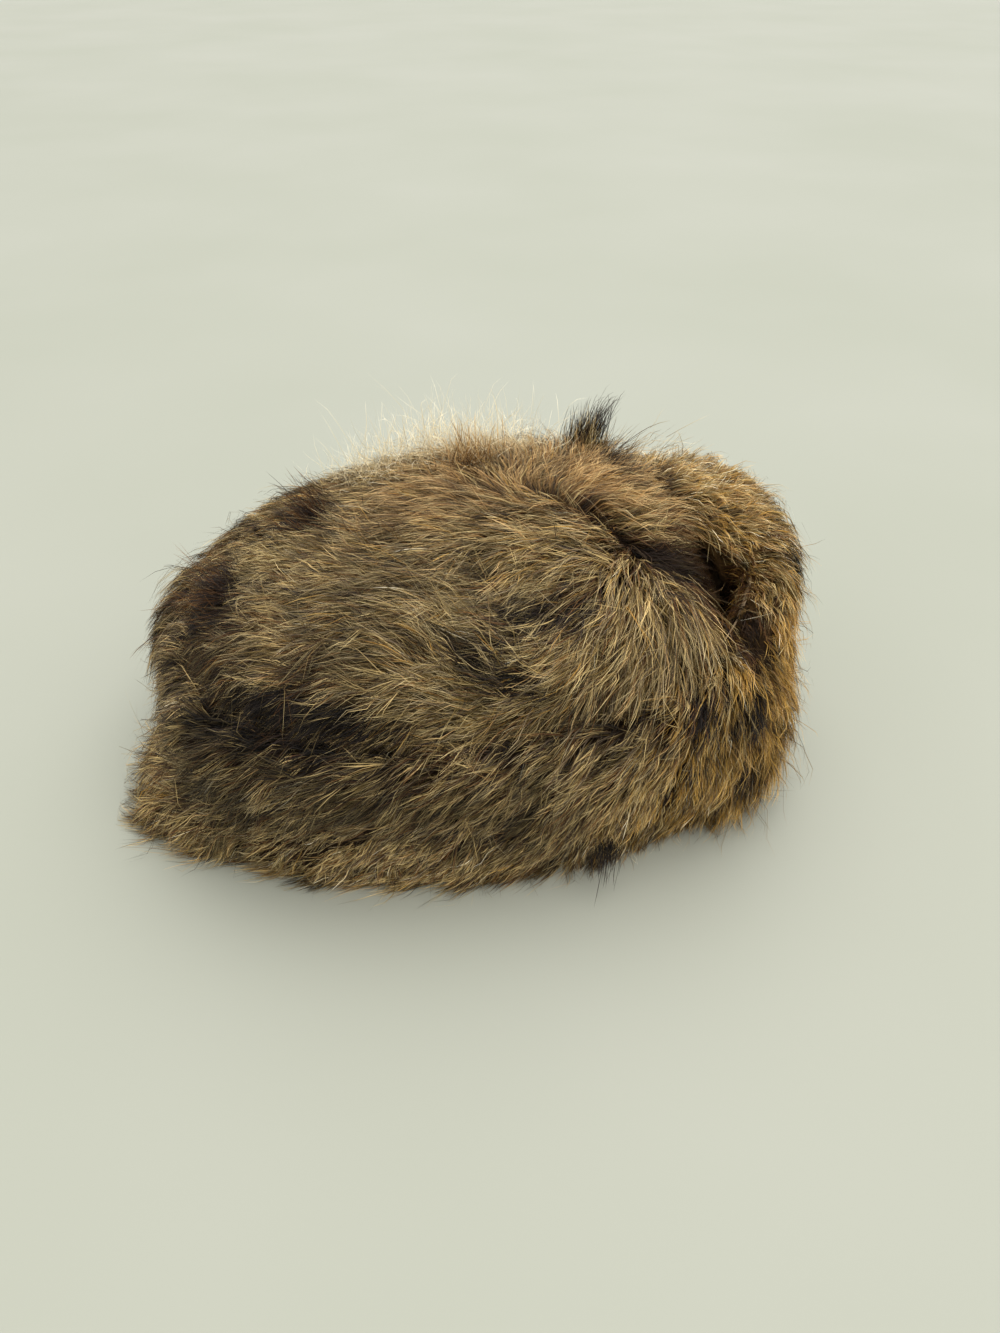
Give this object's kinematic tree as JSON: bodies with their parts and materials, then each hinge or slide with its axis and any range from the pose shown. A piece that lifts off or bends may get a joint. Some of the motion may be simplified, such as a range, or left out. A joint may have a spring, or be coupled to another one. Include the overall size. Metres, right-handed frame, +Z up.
{
  "type": "fur hat",
  "caption": "Soft fur hat: a rounded crown of long banded fur in a deep turned-up fur cuff that rises high at the front, hollow and bare inside.",
  "frame": {"origin": "under the middle of the whole hat, on the surface that it stands on", "axes": "+X to the front of the hat, where the cuff is tall; +Y to its left side; +Z up"},
  "size_m": [0.2606, 0.2122, 0.1158],
  "materials": {
    "hide": "matte",
    "crown_fur": "matte",
    "cuff_fur": "matte"
  },
  "bodies": {
    "root": {"crown_side_pelt": "hide", "crown_top_pelt": "hide", "crown_fur": "crown_fur", "cuff_pelt": "hide", "cuff_fur": "cuff_fur"}
  },
  "joints": []
}
